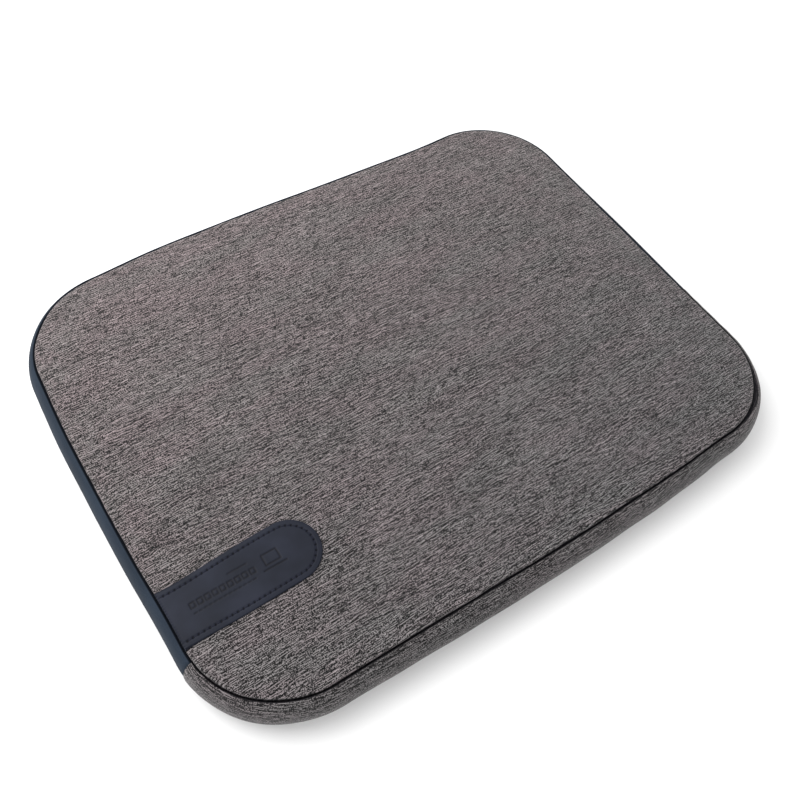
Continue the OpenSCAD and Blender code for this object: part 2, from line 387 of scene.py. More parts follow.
def swollen(grid, held, cap):
    """How far each point of a grid of cloth moves when its padding presses out, in mm; held points stay."""
    scene = bpy.context.scene
    trial = make_mesh("cloth_trial", grid.reshape(-1, 3), grid_faces(*grid.shape[:2]))
    group = trial.vertex_groups.new(name="held")
    group.add(np.flatnonzero(held).tolist(), 1.0, "REPLACE")
    cloth = trial.modifiers.new("cloth", "CLOTH")
    cloth.settings.vertex_group_mass = "held"
    cloth.settings.mass = 0.05
    cloth.settings.use_pressure = True
    cloth.settings.uniform_pressure_force = 4
    cloth.settings.effector_weights.gravity = 0
    cloth.point_cache.frame_end = 20
    for frame in range(1, 21):
        scene.frame_set(frame)
    settled = np.empty(grid.size)
    trial.evaluated_get(bpy.context.evaluated_depsgraph_get()).data.vertices.foreach_get("co", settled)
    mesh = trial.data
    bpy.data.objects.remove(trial)
    bpy.data.meshes.remove(mesh)
    scene.frame_set(1)
    moved = settled.reshape(grid.shape) / MM - grid
    length = np.linalg.norm(moved, axis=2, keepdims=True)
    return np.round(moved * cap / (length + cap), 2)


def face_swell(ring, seed, patch):
    """The same for a cover's face inside a ring of its grid; the stiff patch holds the front down."""
    grid = coons(ring[::2], GRID_X // 2, GRID_Y // 2)
    points = grid[..., :2].reshape(-1, 2)
    depth = inside(points)
    grid[..., 2] = (TOP_SEAM + cover_rise(depth) + face_waves(points, depth, seed)).reshape(grid.shape[:2])
    held = depth < 8
    if patch:
        held |= (points[:, 0] < patch_high[0] + 3) & (abs(points[:, 1] - PATCH_Y) < PATCH_HALF + 4)
    moved = finer(swollen(grid, held.reshape(grid.shape[:2]), COVER_SWELL))
    return moved[loop_index(GRID_X, GRID_Y) < 0]


def spine_swell(s, share, bulge, gap):
    """The same for the spine's face: how far out and how far up each of its points moves."""
    at_s, at_share = np.linspace(s[0], s[-1], 220), np.linspace(-0.92, 0.92, 15)
    point, normal = seam_at(at_s)
    face = [wall(np.interp(at_s, s, bulge), 0, at, np.interp(at_s, s, gap)) for at in at_share]
    grid = np.array([np.column_stack([point + normal * d[:, None], z]) for d, z in face])
    held = np.zeros(grid.shape[:2], bool)
    held[[0, -1]], held[:, :2], held[:, -2:] = True, True, True
    moved = swollen(grid, held, SPINE_SWELL)
    out = np.stack([(moved[..., :2] * normal).sum(2), moved[..., 2]])
    out = np.array([[np.interp(s, at_s, row) for row in part] for part in out])
    return np.apply_along_axis(lambda column: np.interp(share, at_share, column, 0, 0), 1, out)


# ---- Surface of the covers ----


def cover_rise(depth):
    """Height of a cover's face above its seam, `depth` inside the seam: a crisp edge, then a soft crown."""
    edge = ROLL_RISE * np.sqrt(1 - (1 - np.clip(depth / ROLL_WIDTH, 0, 1)) ** 2)
    past = np.maximum(depth - ROLL_WIDTH * 0.6, 0)
    return edge + (TOP + 0.1 - TOP_SEAM - ROLL_RISE) * (1 - np.exp(-past / CROWN_WIDTH))


def face_waves(xy, depth, seed):
    """Soft unevenness of a padded face at points xy that are `depth` inside the seam."""
    soft = 0.16 * ripple(xy[:, 0], xy[:, 1], 70, seed) + 0.07 * ripple(xy[:, 0], xy[:, 1], 22, seed + 1)
    return soft * smooth(depth / 14)


def front_height(xy):
    """Height of the front cover's face at points that are inside the seam."""
    depth = inside(xy)
    return TOP_SEAM + cover_rise(depth) + face_waves(xy, depth, 11)


def cover(name, seed, flip):
    """A padded cover: cloth face with rolled edges, closed over its foam by a flat inner face."""
    s = loop_distances()
    point, normal = seam_at(s)
    under = LINING_TOP - TOP_SEAM
    # The seam allowance under the cover, then the near flank of the groove, as (d, height, painted groove
    # shade)
    tuck = [(-3.6, under + 0.05, 0), (-3.4, -2.7, 0), (-1.0, -2.5, 1), (0.1, -GROOVE_DEEP - 0.2, 1),
            (0.3, -GROOVE_DEEP, 1), (0.16, -1.3, 1), (0.06, -0.7, 1), (0.0, -0.25, 0.9)]
    angle = np.linspace(0, math.pi / 2, 8)[:-1]
    # The rolled edge, with painted shade on its underside where it turns into the groove
    edge = [
        (-ROLL_WIDTH * (1 - math.cos(a)), ROLL_RISE * math.sin(a), 0.6 * max(0, 1 - a / 0.6)) for a in angle
    ]
    plain = [(-d, None, 0) for d in (1.5, 2.3, 3.4, 4.8, 6.6)]
    pucker, swell = seam_ripple(s, 70, seed + 2), seam_ripple(s, 24, seed + 3)
    rows, painted_shade_rows = [], []
    for d, rise, shade in tuck + edge + plain:
        loose = 0 if rise is not None and rise < -0.6 else 1
        xy = point + normal * (d + loose * (0.1 * pucker + 0.16 * swell) * math.exp(d / 2.5))[:, None]
        depth = np.full(len(xy), max(-d, 0.0))
        height = cover_rise(depth) if rise is None or rise > 0 else np.full(len(xy), float(rise))
        height = height + face_waves(xy, depth, seed) + 0.06 * pucker * loose * math.exp(-abs(d + 1.5))
        rows.append(np.column_stack([xy, TOP_SEAM + height]))
        painted_shade_rows.append(np.full(len(xy), float(shade)))
    verts = [np.concatenate(rows)]
    cols = len(s)
    faces = [grid_faces(len(rows), cols, wrap_cols=True)]
    count = len(rows) * cols
    inner, quads = filled(rows[-1], GRID_X, GRID_Y, count, (len(rows) - 1) * cols)
    depth = inside(inner[:, :2])
    inner[:, 2] = TOP_SEAM + cover_rise(depth) + face_waves(inner[:, :2], depth, seed)
    verts.append(inner + face_swell(rows[-1], seed, not flip))
    faces.append(quads)
    count += len(inner)
    inner, quads = filled(rows[0], GRID_X, GRID_Y, count, 0, flip=True)
    inner[:, 2] += 0.9 * np.exp(-(((inner[:, 1] - FOLD_Y) / 11) ** 4)) * smooth(inside(inner[:, :2]) / 12)
    verts.append(inner)
    faces.append(quads)
    verts = np.concatenate(verts)
    faces = np.concatenate(faces)
    # Painted shade: the groove and the roll's underside are drawn darker in the cloth's colour
    painted_shade = np.concatenate(painted_shade_rows + [np.zeros(len(verts) - len(painted_shade_rows) * cols)])
    weave = verts.copy()
    if flip:
        verts[:, 2] = TOP - verts[:, 2]
        verts[:, 2] = np.maximum(verts[:, 2], 0)
        faces = faces[:, ::-1]
    return make_mesh(name, verts, faces, weave, painted_shade)


def lining(name, seed, flip):
    """A thin lining over the inner face of a cover, turned towards the seam at its edge."""
    nx, ny = GRID_X // 2, GRID_Y // 2
    s = loop_distances(nx, ny)
    point, normal = seam_at(s)
    wave = seam_ripple(s, 40, seed)
    profile = [(-2.7, 1.6), (-2.75, 0.9), (-3.1, 0.35), (-4.2, 0.08), (-7.0, 0.0)]
    thick = LINING_TOP - LINING_LOW

    def layer(drop):
        rows = []
        for k, (d, rise) in enumerate(profile):
            xy = point + normal * (d - (drop * 0.8 if k < 3 else 0))
            height = LINING_TOP + rise - (drop if k >= 2 else 0.0)
            rows.append(np.column_stack([xy, np.full(len(xy), height) + 0.12 * wave * (k > 2)]))
        return rows

    outer, inner_rows = layer(0.0), layer(thick)
    rings = outer[::-1] + inner_rows
    cols = len(s)
    verts = [np.concatenate(rings)]
    faces = [grid_faces(len(rings), cols, wrap_cols=True)]
    count = len(rings) * cols
    for ring, first, turned in ((rings[0], 0, True), (rings[-1], (len(rings) - 1) * cols, False)):
        points, quads = filled(ring, nx, ny, count, first, flip=turned)
        soft = 0.2 * ripple(points[:, 0], points[:, 1], 45, seed)
        points[:, 2] += soft * smooth(inside(points[:, :2]) / 30)
        verts.append(points)
        faces.append(quads)
        count += len(points)
    verts = np.concatenate(verts)
    faces = np.concatenate(faces)[:, ::-1]
    weave = verts.copy()
    if flip:
        verts[:, 2] = TOP - verts[:, 2]
        faces = faces[:, ::-1]
    return make_mesh(name, verts, faces, weave)


# ---- Side walls ----


WALL_HALF = TOP_SEAM - MID_Z - 0.2


def wall(bulge, inset, share, gap):
    """d and z of a side wall, `inset` inside its face; share runs from -1, the low seam, to 1."""

    def face(at):
        angle = np.clip(at, -1, 1) * math.pi / 2
        return gap + (bulge - gap) * np.cos(angle) ** WALL_POWER, MID_Z + WALL_HALF * np.sin(angle)

    d, z = face(share)
    (d_low, z_low), (d_high, z_high) = face(share - 0.01), face(share + 0.01)
    along_d, along_z = d_high - d_low, z_high - z_low
    length = np.hypot(along_d, along_z)
    return d - inset * along_z / length, z + inset * along_d / length


def section(rows):
    """d and z of a section, from its points one by one."""
    return (np.array(part) for part in zip(*rows))


def at_height(z):
    """The share of a wall at height z."""
    return math.asin((z - MID_Z) / WALL_HALF) / (math.pi / 2)


def groove_width(s):
    """Width of the sewn groove: wider at the right spine corner and by the sliders, closed past the spine."""
    s = np.mod(np.asarray(s, float) - 1, PERIMETER) + 1
    open_corner = np.exp(-(((s - (S_CORNERS[3] - 5)) / 17) ** 2))
    past_end = s - SPINE_START
    closed_end = np.where(past_end > 0, np.exp(-((past_end / 16) ** 2)), 0)
    zip_side = np.exp(-(((s - 92) / 42) ** 2))
    return GROOVE + 1.6 * open_corner + 0.9 * zip_side - 0.55 * closed_end


def band_bulge(s):
    """Bulge of the zip band: a little slacker on the left side than where the sliders run."""
    left = smooth((s - S_CORNERS[1]) / 60)
    return BAND_BULGE + 0.9 * left + 0.1 * seam_ripple(s, 20, 5) * smooth((s - S_CORNERS[0]) / 40)


# Bulge of the padded spine at equal steps from its left end to its right end, fitted and then set one by one
SPINE_BULGES = (6.6, 8.0, 8.5, 9.8, 10.1, 9.8, 9.5, 8.9, 8.0, 7.4, 6.6, 6.1)


def spine_bulge(s):
    """Bulge of the padded spine: fullest in the middle of the hinge side, with a turned hem at each end."""
    fine = np.linspace(0, 1, 400)
    value = np.interp(fine, np.linspace(0, 1, len(SPINE_BULGES)), SPINE_BULGES)
    kernel = np.hanning(61) / np.hanning(61).sum()
    value = np.convolve(np.pad(value, 30, mode="edge"), kernel, "valid")
    hem = 0.5 * (np.exp(-(s - SPINE_START) / 0.8) + np.exp(-(SPINE_END - s) / 0.8))
    along = (s - SPINE_START) / (SPINE_END - SPINE_START)
    return np.interp(along, fine, value) + 0.22 * seam_ripple(s, 26, 7) - hem


def spine_panel():
    """The spine gusset: cloth over foam, tucked into both seams."""
    s = np.concatenate(
        [
            SPINE_START + np.array([0, 0.3, 0.8, 1.5]),
            np.linspace(SPINE_START + 2.6, SPINE_END - 2.6, 330),
            SPINE_END - np.array([1.5, 0.8, 0.3, 0]),
        ]
    )
    bulge, gap = spine_bulge(s), groove_width(s)
    low_lip, high_lip = np.linspace(-1, -0.8, 7)[:-1], np.linspace(0.8, 1, 7)[1:]
    share = np.concatenate([low_lip, np.linspace(-0.8, 0.8, 23), high_lip])
    pucker = seam_ripple(s, 90, 9)
    swell_out, swell_up = spine_swell(s, share, bulge, gap)
    face = []
    for k, at in enumerate(share):
        d, z = wall(bulge, 0, at, gap)
        gather = math.exp(-(((abs(at) - 0.72) / 0.2) ** 2))
        face.append((d + 0.15 * pucker * gather + swell_out[k], z + swell_up[k]))
    flank = [(-3.0, 2.35), (-0.6, 2.3), (0.34, 2.05)]
    low = [(np.full(len(s), d), np.full(len(s), LOW_SEAM + rise)) for d, rise in flank]
    low.append((0.35 + 0.55 * (gap - 0.35), np.full(len(s), LOW_SEAM + 1.15)))
    high = [(d, 2 * MID_Z - z) for d, z in low[::-1]]
    inner = np.full(len(s), SPINE_INNER_D + 0.85)
    back = [wall(inner, 0, at, np.zeros(len(s))) for at in np.linspace(0.62, -0.62, 9)]
    d, z = section(low + face + high + back)
    # Painted shade: full on the flanks tucked into both grooves, fading out over the edges of the face; none
    # on the lining side
    edge = np.clip((np.abs(share) - 0.9) / 0.1, 0, 1) ** 2 * 0.8
    shade = np.concatenate([np.ones(4), edge, np.ones(4), np.zeros(9)])
    return swept("spine_panel", s, d, z, painted_shade=np.repeat(shade, len(s)))


def spine_lining_sheet():
    s = np.linspace(SPINE_START + 1, SPINE_END - 1, 240)
    bulge, gap = np.full(len(s), SPINE_INNER_D + 0.7), np.zeros(len(s))
    share = np.linspace(-0.66, 0.66, 11)
    outer = [wall(bulge, 0.05, t, gap) for t in share]
    inner = [wall(bulge, 0.65, t, gap) for t in share[::-1]]
    return swept("spine_lining_sheet", s, *section(outer + inner))


TAPE_T = 0.8


def zip_tape(name, start, end, upper):
    """One tape of the zip, from its seam to the slit, with a soft turned edge at the slit."""
    s = np.linspace(start, end, int((end - start) / 1.8))
    bulge, gap = band_bulge(s), groove_width(s)
    slit = at_height(SLIT_TOP)
    steps = np.concatenate([np.linspace(0, 0.25, 8)[:-1], np.linspace(0.25, 1, 12)])
    sign = 1 if upper else -1

    def arc(inset, along):
        d, z = wall(bulge, inset, (1 - along) + slit * along, gap)
        return d, MID_Z + sign * (z - MID_Z)

    def flat(d, drop):
        return np.broadcast_to(d, gap.shape), np.full(len(s), MID_Z + sign * (TOP_SEAM - drop - MID_Z))

    rows = [flat(-3.0, 2.35), flat(-0.6, 2.3), flat(0.34, 2.05), flat(0.35 + 0.55 * (gap - 0.35), 1.15)]
    # Painted shade: full in the groove by the seam, fading out over the first tenth of the tape's face
    shade = [1, 1, 1, 1]
    for along in steps[:-1]:
        rows.append(arc(0.0, along))
        shade.append(0.8 * (1 - along / 0.1) ** 2 if along < 0.1 else 0)
    edge = [arc(0.06, 0.985), arc(0.3, 1.0), arc(0.55, 1.0), arc(TAPE_T, 0.98)]
    lining_side = [arc(TAPE_T, along) for along in steps[::-1][1:-4]]
    rows += edge + lining_side + [flat(-0.2, 3.1), flat(-2.9, 3.0)]
    shade += [0] * (len(rows) - len(shade))
    d, z = section(rows)
    from_slit = np.abs(z - MID_Z)
    painted_shade = np.repeat(np.array(shade, float)[:, None], len(s), 1)
    if upper:
        d, z, from_slit, painted_shade = d[::-1], z[::-1], from_slit[::-1], painted_shade[::-1]
    return swept(name, s, d, z, wave_v=from_slit, painted_shade=painted_shade.ravel())


COIL_PITCH = 1.25
COIL_WIRE = 0.27
COIL_HALF = 0.85
COIL_SIDES = 5


def zip_coil(name, start, end, upper):
    """One zip coil: a wound filament sewn behind the edge of its tape."""
    low, high = box_mm("upper_zip_coil" if upper else "lower_zip_coil")
    centre_z, half_z = (low[2] + high[2]) / 2, (high[2] - low[2]) / 2 - COIL_WIRE
    centre_d = high[0] - HALF_X - COIL_HALF
    turns = int((end - start) / COIL_PITCH)
    per_turn = 10
    t = np.arange(turns * per_turn + 1) / per_turn
    s = start + t * COIL_PITCH
    angle = t * math.tau
    point, normal = seam_at(s)
    slack = band_bulge(s) - BAND_BULGE
    d = centre_d + slack + (COIL_HALF - COIL_WIRE) * np.cos(angle)
    z = centre_z + half_z * np.sin(angle)
    path = np.column_stack([point + normal * d[:, None], z])
    return tube(name, path, COIL_WIRE, COIL_SIDES)


def tube(name, path, radius, sides):
    """A round tube along a path of points."""
    ahead, behind = np.roll(path, -1, 0), np.roll(path, 1, 0)
    ahead[-1], behind[0] = path[-1], path[0]
    tangent = ahead - behind
    tangent /= np.linalg.norm(tangent, axis=1)[:, None]
    up = np.array([0.31, 0.17, 0.93])
    side = np.cross(tangent, up)
    side /= np.linalg.norm(side, axis=1)[:, None]
    other = np.cross(tangent, side)
    angle = np.linspace(0, math.tau, sides, endpoint=False)
    ring = np.cos(angle)[:, None, None] * side[None] + np.sin(angle)[:, None, None] * other[None]
    verts = (path[None] + ring * radius).reshape(-1, 3)
    return make_mesh(name, verts, row_tube_faces(sides, len(path)), verts)


def seam_binding(name, upper):
    """Folded tape that binds the raw seam inside, round the whole sleeve."""
    s = np.linspace(0, PERIMETER, 600, endpoint=False)
    low, high = box_mm("back_seam_binding")
    out, inn = high[0] - HALF_X, high[0] - HALF_X - 1.5
    mid, half = (low[2] + high[2]) / 2, (high[2] - low[2]) / 2
    wave, roll = seam_ripple(s, 60, 21 + upper), seam_ripple(s, 34, 23 + upper)
    angle = np.linspace(0, math.tau, 18, endpoint=False)
    centre_d, half_d = (out + inn) / 2, (out - inn) / 2
    cos, sin = np.cos(angle), np.sin(angle)
    section_d = centre_d + half_d * np.sign(cos) * np.abs(cos) ** 0.7
    section_z = half * np.sign(sin) * np.abs(sin) ** 0.45
    d = section_d[:, None] - 0.14 * (1 + wave[None]) * (cos[:, None] < 0)
    z = mid + section_z[:, None] * (1 + 0.03 * roll[None])
    if upper:
        z = TOP - z
    return swept(name, s, d, z, closed_route=True)


def end_binding(name, node, s_end):
    """Upright binding tape over the joint of spine and zip at one end of the zip."""
    low, high = box_mm(node)
    s = s_end + np.linspace(-8, 0, 9)
    half = (high[2] - low[2]) / 2
    angle = np.linspace(0, math.tau, 16, endpoint=False)
    cos, sin = np.cos(angle), np.sin(angle)
    d = -0.15 + 0.45 * np.sign(cos) * np.abs(cos) ** 0.6
    z = MID_Z + half * np.sign(sin) * np.abs(sin) ** 0.4
    return swept(name, s, np.repeat(d[:, None], len(s), 1), np.repeat(z[:, None], len(s), 1))


# ---- Label patch ----

PATCH_TIP = patch_high[0]
PATCH_T = 1.0
STITCH_INSET = 3.1
STITCH_PITCH = 2.9


def left_seam_x(y):
    """x of the left seam at heights y."""
    left = OUTLINE[OUTLINE[:, 0] < -HALF_X + CORNER_R]
    order = np.argsort(left[:, 1])
    return np.interp(y, left[order, 1], left[order, 0])


def evenly(line, count, endpoint=True):
    """Points at equal steps along a line of points, and the line's length."""
    run = np.concatenate([[0], np.cumsum(np.linalg.norm(np.diff(line, axis=0), axis=1))])
    at = np.linspace(0, run[-1], count, endpoint=endpoint)
    return np.column_stack([np.interp(at, run, line[:, k]) for k in (0, 1)]), run[-1]


def patch_edge(inset, count):
    """The patch's outline, `inset` inside its edge, from the seam round the tip and back, and its length."""
    radius = PATCH_HALF - 0.5 - inset
    centre_x = PATCH_TIP - 0.8 - radius - inset
    start_x = left_seam_x(PATCH_Y) - 0.1
    run = np.linspace(start_x, centre_x, 200)
    share = (run - start_x) / (centre_x - start_x)
    flare = np.exp(-(run - start_x) / 4)
    low = np.column_stack([run, PATCH_Y - radius - 0.7 * flare - 0.7 * np.sin(math.pi * share)])
    turn = np.linspace(-math.pi / 2, math.pi / 2, 160)[1:-1]
    tip = np.column_stack([centre_x + radius * np.cos(turn), PATCH_Y + radius * np.sin(turn)])
    high = np.column_stack([run, PATCH_Y + radius - 2.6 * smooth(1 - share) + 0.8 * flare])[::-1]
    return evenly(np.concatenate([low, tip, high]), count)


def stitch_places():
    """Needle holes along the stitch row."""
    length = patch_edge(STITCH_INSET, 2)[1]
    return patch_edge(STITCH_INSET, int(length / STITCH_PITCH) + 1)[0][1:]


def near_lines(xy, lines):
    """Distance from points to the nearest of some straight lines ((x, y), (x, y))."""
    best = np.full(len(xy), 1e9)
    for a, b in lines:
        a, b = np.array(a, float), np.array(b, float)
        t = np.clip(((xy - a) @ (b - a)) / max(((b - a) ** 2).sum(), 1e-9), 0, 1)
        best = np.minimum(best, np.linalg.norm(xy - (a + t[:, None] * (b - a)), axis=1))
    return best


def box_lines(x0, y0, half_x, half_y):
    """The four sides of a rectangle."""
    signs = ((-1, -1), (1, -1), (1, 1), (-1, 1))
    corners = [(x0 + sx * half_x, y0 + sy * half_y) for sx, sy in signs]
    return list(zip(corners, corners[1:] + corners[:1]))


def patch_mark(xy):
    """Depth, 0 to 1, of the mark pressed into the patch: an open laptop, a row of keys and two rules."""
    x0, y0 = PATCH_TIP - 26.5, PATCH_Y + 0.3
    bold = box_lines(x0, y0 + 1.4, 4.0, 2.9) + [((x0 - 6.2, y0 - 3.7), (x0 + 6.2, y0 - 3.7))]
    for k in range(9):
        bold += box_lines(x0 - 43 + 4.0 * k, y0 - 0.4, 1.25, 1.35)
    fine = [((x0 - 44 + 2.6 * k, y0 - 4.6), (x0 - 42.6 + 2.6 * k, y0 - 4.6)) for k in range(13)]
    fine += [((x0 - 22, y0 + 4.6), (x0 - 12, y0 + 4.6))]
    deep = 1 - smooth((near_lines(xy, bold) - 0.2) / 0.42)
    slight = 1 - smooth((near_lines(xy, fine) - 0.2) / 0.42)
    return np.maximum(deep, 0.8 * slight)


def label_patch():
    nx, ny = 200, 88
    line = patch_edge(0, 1200)[0]
    # The closed loop: along the low edge, round half the tip, back along the high edge, down the seam
    corner = math.pi / 4
    centre_x = PATCH_TIP - PATCH_HALF
    angle = np.arctan2(line[:, 1] - PATCH_Y, line[:, 0] - centre_x)
    on_tip = line[:, 0] > centre_x
    first = np.where(on_tip & (angle > -corner))[0][0]
    last = np.where(on_tip & (angle < corner))[0][-1]
    seam_y = np.linspace(line[-1, 1], line[0, 1], 200)
    seam = np.column_stack([left_seam_x(seam_y) - 0.1, seam_y])
    sides = ((line[: first + 1], nx), (line[first : last + 1], ny), (line[last:], nx), (seam, ny))
    loop = np.concatenate([evenly(side, steps, False)[0] for side, steps in sides])
    tangent = np.roll(loop, -1, 0) - np.roll(loop, 1, 0)
    tangent /= np.linalg.norm(tangent, axis=1)[:, None]
    normal = np.column_stack([tangent[:, 1], -tangent[:, 0]])
    rows = []
    for out, rise in [(-0.5, -0.15), (0.0, -0.1), (0.06, 0.3), (0.03, 0.62), (-0.12, 0.86), (-0.45, PATCH_T)]:
        xy = loop + normal * out
        rows.append(np.column_stack([xy, front_height(xy) + rise]))
    cols = len(loop)
    verts = [np.concatenate(rows)]
    faces = [grid_faces(len(rows), cols, wrap_cols=True)]
    top, quads = filled(rows[-1], nx, ny, len(rows) * cols, (len(rows) - 1) * cols)
    pit = 1 - smooth((nearest(top[:, :2], stitch_places()) - 0.34) / 0.36)
    row = nearest(top[:, :2], patch_edge(STITCH_INSET, 700)[0])
    channel = 1 - smooth((row - 0.2) / 0.9)
    pressed = patch_mark(top[:, :2])
    pillow = 0.12 * smooth(nearest(top[:, :2], loop[::4]) / 2.6)
    top[:, 2] = front_height(top[:, :2]) + PATCH_T + pillow - 0.5 * pit - 0.16 * channel - 0.28 * pressed
    verts.append(top)
    faces.append(quads)
    bottom, quads = filled(rows[0], nx, ny, len(rows) * cols + len(top), 0, flip=True)
    verts.append(bottom)
    faces.append(quads)
    verts = np.concatenate(verts)
    # Painted shade in the needle holes and in the pressed lines of the top face
    painted_shade = np.zeros(len(verts))
    painted_shade[len(rows) * cols : len(rows) * cols + len(top)] = np.maximum(pit, 0.75 * pressed)
    return make_mesh("label_patch_leather", verts, np.concatenate(faces), verts.copy(), painted_shade)


def patch_thread():
    """Stitches between the needle holes of the patch."""
    holes = stitch_places()
    all_verts, all_faces = [], []
    rings, sides = 7, 6
    angle = np.linspace(0, math.tau, sides, endpoint=False)
    for a, b in zip(holes[:-1], holes[1:]):
        t = np.linspace(0.1, 0.9, rings)
        xy = a + np.outer(t, b - a)
        height = front_height(xy) + PATCH_T - 0.32 + 0.28 * np.sin(np.pi * t)
        along = np.append((b - a) / np.linalg.norm(b - a), 0)
        across = np.array([-along[1], along[0], 0])
        radius = 0.3 * np.sin(np.pi * np.linspace(0.12, 0.88, rings)) ** 0.5
        ring = np.outer(np.cos(angle), across) + np.outer(np.sin(angle), [0, 0, 0.8])
        all_faces += ring_tube_faces(rings, sides, len(all_verts) * sides)
        for k in range(rings):
            all_verts.append(np.array([xy[k, 0], xy[k, 1], height[k]]) + ring * radius[k])
    verts = np.concatenate(all_verts)
    return make_mesh("patch_thread", verts, all_faces, verts.copy())


# ---- Sliders and pulls ----

PLATE_T = 1.4
# How far a slider's arch stands off its outer plate
ARCH_HIGH = 2.6


def slab(outline, levels, start=0):
    """Points and faces of a flat plate: an outline (y, z) lifted through levels (d, inset)."""
    tangent = np.roll(outline, -1, 0) - np.roll(outline, 1, 0)
    tangent /= np.linalg.norm(tangent, axis=1)[:, None]
    normal = np.column_stack([tangent[:, 1], -tangent[:, 0]])
    verts = [np.column_stack([np.full(len(outline), d), outline - normal * inset]) for d, inset in levels]
    return np.concatenate(verts), ring_tube_faces(len(levels), len(outline), start)


def rounded(points, radius, steps=6):
    """A closed polygon with its corners rounded."""
    out = []
    for k in range(len(points)):
        here, before, after = (np.array(points[i % len(points)], float) for i in (k, k - 1, k + 1))
        a, b = before - here, after - here
        cut = min(radius, 0.48 * np.linalg.norm(a), 0.48 * np.linalg.norm(b))
        a, b = here + a / np.linalg.norm(a) * cut, here + b / np.linalg.norm(b) * cut
        for t in np.linspace(0, 1, steps):
            out.append((1 - t) ** 2 * a + 2 * t * (1 - t) * here + t * t * b)
    return np.array(out)


def soft_levels(low, high, edge):
    return [(low, edge), (low + 0.3 * edge, 0.3 * edge), (low + edge, 0), (high - edge, 0),
            (high - 0.3 * edge, 0.3 * edge), (high, edge)]


def zip_slider(name, node, head_y, tail):
    """A slider with its head at head_y and its tail along tail (+1 or -1) on Y; here d is the frame's x."""
    low, high = box_mm(node)
    length = high[1] - low[1]
    half = (high[2] - low[2]) / 2
    plate_in, inner_low = high[0] - ARCH_HIGH - PLATE_T, low[0]
    shield = [(0, -half * 0.8), (2.2, -half), (7.5, -half * 0.96), (length, -half * 0.66),
              (length, half * 0.66), (7.5, half * 0.96), (2.2, half), (0, half * 0.8)]
    shield = rounded(shield, 1.6)
    verts, faces = [], []

    def add(v, f):
        verts.append(v)
        faces.extend(f)

    def total():
        return sum(len(v) for v in verts)

    for d_low, d_high in ((plate_in, plate_in + PLATE_T), (inner_low, inner_low + PLATE_T)):
        add(*slab(shield, soft_levels(d_low, d_high, 0.35), total()))
    post = rounded([(0.2, -0.5), (5.6, -0.42), (5.6, 0.42), (0.2, 0.5)], 0.4)
    add(*slab(post, [(inner_low + 1.2, 0), (plate_in + 0.2, 0)], total()))
    base = plate_in + 1.3
    path = []
    for t in np.linspace(0, 1, 19):
        angle = math.pi * (1 - t)
        y = length / 2 + 3.05 * np.sign(math.cos(angle)) * abs(math.cos(angle)) ** 0.6
        d = base + (high[0] - 0.45 - base) * abs(math.sin(angle)) ** 0.6
        path.append((d, y))
    path = np.array(path)
    tangent = np.gradient(path, axis=0)
    tangent /= np.linalg.norm(tangent, axis=1)[:, None]
    normal = np.column_stack([-tangent[:, 1], tangent[:, 0]])
    across = rounded([(-0.42, -1.15), (0.42, -1.15), (0.42, 1.15), (-0.42, 1.15)], 0.25, 4)
    ring_verts = []
    for place, out in zip(path, normal):
        ring_verts += [(*(place + out * off), z) for off, z in across]
    add(np.array(ring_verts), ring_tube_faces(len(path), len(across), total()))
    all_verts = np.concatenate(verts)
    all_verts[:, 1] = head_y + tail * all_verts[:, 1]
    all_verts[:, 2] += MID_Z
    piece = make_mesh(name, all_verts, faces, all_verts.copy())
    return tidy_normals(piece)


def zip_pull(name, node, pin_y, tail):
    """A pull: a loop round the slider's arch and a flat tab with a slot near its tip."""
    low, high = box_mm(node)
    centre_d, half_t = (low[0] + high[0]) / 2, (high[0] - low[0]) / 2
    half = (high[2] - low[2]) / 2
    length = (high[1] - low[1]) - half_t
    neck = half * 0.62
    side = [(-half_t, half * 0.8), (5.2, half * 0.86), (8.5, neck), (13.5, neck), (18.5, half),
            (length - 1.2, half), (length, half * 0.5)]
    outer = rounded([(y, -z) for y, z in side] + side[::-1], 1.5, 7)
    window = rounded([(half_t, -1.75), (4.8, -1.75), (4.8, 1.75), (half_t, 1.75)], 0.7, 7)
    slot = rounded([(18.6, -1.1), (length - 3.2, -1.1), (length - 3.2, 1.1), (18.6, 1.1)], 1.0, 7)
    piece = holed_plate(name, outer, [window, slot], centre_d - half_t, centre_d + half_t, 0.25)
    co = np.array([v.co for v in piece.data.vertices]) / MM
    co[:, 1] = pin_y + tail * co[:, 1]
    co[:, 2] += MID_Z
    piece.data.vertices.foreach_set("co", (co * MM).astype(np.float32).ravel())
    return tidy_normals(piece)


def holed_plate(name, outer, holes, low, high, edge):
    """A flat plate with holes, cut from a filled curve and given rounded edges."""
    curve = bpy.data.curves.new(name, "CURVE")
    curve.dimensions = "2D"
    curve.fill_mode = "BOTH"
    for line in [outer] + holes:
        spline = curve.splines.new("POLY")
        spline.points.add(len(line) - 1)
        for p, (y, z) in zip(spline.points, line):
            p.co = (y * MM, z * MM, 0, 1)
        spline.use_cyclic_u = True
    curve.extrude = ((high - low) / 2 - edge) * MM
    curve.bevel_depth = edge * MM
    curve.bevel_resolution = 2
    curve.offset = -edge * MM
    source = bpy.data.objects.new(name + "_curve", curve)
    bpy.context.scene.collection.objects.link(source)
    bpy.context.view_layer.update()
    mesh = bpy.data.meshes.new_from_object(source.evaluated_get(bpy.context.evaluated_depsgraph_get()))
    bpy.data.objects.remove(source)
    co = np.array([v.co for v in mesh.vertices])
    turned = np.column_stack([co[:, 2] + (low + high) / 2 * MM, co[:, 0], co[:, 1]])
    mesh.vertices.foreach_set("co", turned.astype(np.float32).ravel())
    mesh.name = name
    piece = bpy.data.objects.new(name, mesh)
    bpy.context.scene.collection.objects.link(piece)
    return piece


